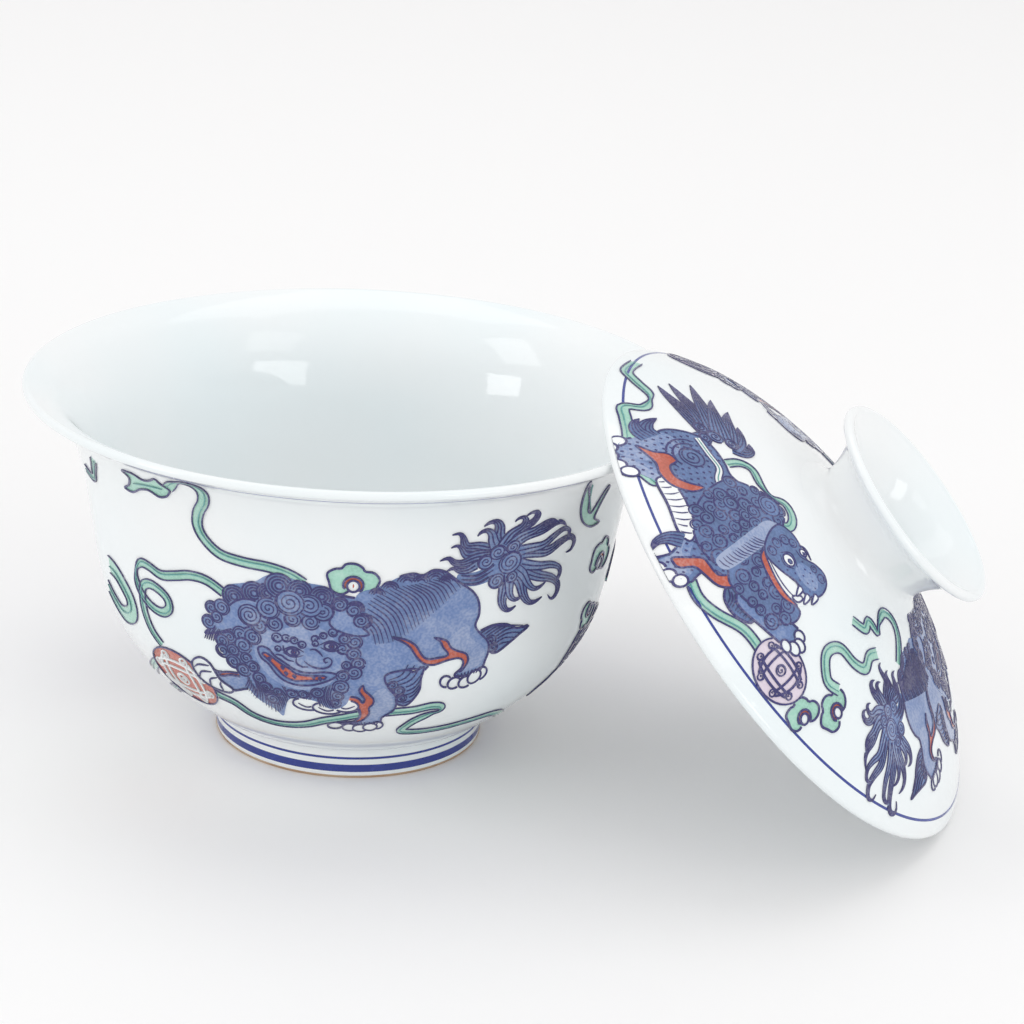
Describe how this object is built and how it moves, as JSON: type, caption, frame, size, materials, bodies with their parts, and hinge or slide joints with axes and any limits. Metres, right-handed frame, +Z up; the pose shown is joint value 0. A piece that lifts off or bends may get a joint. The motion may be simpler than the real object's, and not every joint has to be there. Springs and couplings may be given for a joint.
{
  "type": "gaiwan",
  "caption": "Lidded porcelain tea bowl: flared bowl on a foot ring, with its domed, cup-knobbed lid off and leaning on the lip; underglaze-blue lions, ribbons and balls.",
  "frame": {"origin": "centre of the footprint of the bowl and the leaning lid together, on the surface that they stand on", "axes": "+Z up along the bowl's axis; +X from the bowl's axis towards the leaning lid"},
  "size_m": [0.1526, 0.105, 0.0665],
  "materials": {
    "porcelain_glaze": "polished",
    "bare_clay": "matte",
    "cobalt_line": "polished",
    "cobalt_wash": "polished",
    "pale_blue": "polished",
    "green_enamel": "gloss",
    "red_enamel": "gloss",
    "lilac_enamel": "gloss"
  },
  "bodies": {
    "bowl": {"bowl_body": "porcelain_glaze", "foot_ring": "porcelain_glaze"},
    "lid": {"lid_dome": "porcelain_glaze", "lid_knob": "porcelain_glaze"}
  },
  "joints": [
    {"name": "lid_lift", "type": "slide", "parent": "bowl", "child": "lid", "axis": [0, 0, 1], "range_m": [0, 0.1]}
  ]
}
